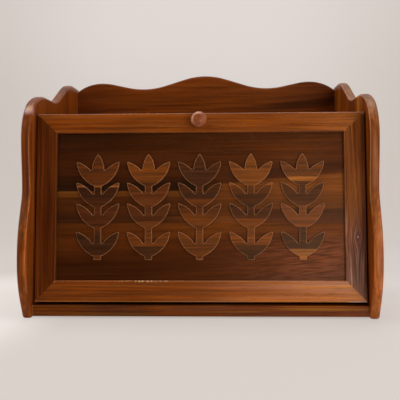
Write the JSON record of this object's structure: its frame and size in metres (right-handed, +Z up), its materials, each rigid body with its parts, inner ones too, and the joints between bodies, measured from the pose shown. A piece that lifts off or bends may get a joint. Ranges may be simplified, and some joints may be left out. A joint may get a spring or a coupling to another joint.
{
  "type": "bread box with drop-front door",
  "caption": "Wooden bread box with scrolled sides, a scalloped back, a shelf on top and a frame-and-panel drop-front door with raised wheat ears and a round knob.",
  "frame": {"origin": "middle of the box's footprint, on the surface it stands on", "axes": "+X to the right seen from the front, +Y to the back, +Z up; the door faces -Y"},
  "size_m": [0.432, 0.3, 0.335],
  "materials": {
    "side_wood": "satin lacquer over mid red-brown hardwood",
    "back_wood": "satin lacquer over dark red-brown hardwood",
    "base_wood": "satin lacquer over mid red-brown hardwood",
    "shelf_wood": "satin lacquer over dark red-brown hardwood",
    "dowel_wood": "plain beech",
    "steel": "zinc-plated steel",
    "magnet": "nickel-plated magnet",
    "frame_wood": "satin lacquer over mid orange-brown hardwood",
    "panel_wood": "satin lacquer over dark brown hardwood",
    "overlay_wood": "satin lacquer over banded brown hardwood",
    "knob_wood": "satin lacquer over turned hardwood"
  },
  "bodies": {
    "case": {"left_side": "side_wood", "right_side": "side_wood", "back_lower_board": "back_wood", "back_middle_board": "back_wood", "back_upper_board": "back_wood", "bottom_board": "base_wood", "top_shelf": "shelf_wood", "shelf_dowels": "dowel_wood", "bottom_dowels": "dowel_wood", "back_dowels": "dowel_wood", "shelf_screws": "steel", "bottom_screws": "steel", "catch_magnets": "magnet", "left_pivot_pin": "steel", "right_pivot_pin": "steel"},
    "door": {"door_top_rail": "frame_wood", "door_bottom_rail": "frame_wood", "door_left_stile": "frame_wood", "door_right_stile": "frame_wood", "mitre_keys": "dowel_wood", "panel_lower_board": "panel_wood", "panel_middle_board": "panel_wood", "panel_upper_board": "panel_wood", "overlay_1": "overlay_wood", "overlay_2": "overlay_wood", "overlay_3": "overlay_wood", "overlay_4": "overlay_wood", "overlay_5": "overlay_wood", "knob": "knob_wood", "knob_screw": "steel", "strike_screws": "steel"}
  },
  "joints": [
    {"name": "door_hinge", "type": "hinge", "parent": "case", "child": "door", "pos_m": [0, -0.11229, 0.02607], "axis": [1, 0, 0], "range_deg": [0, 94]}
  ]
}
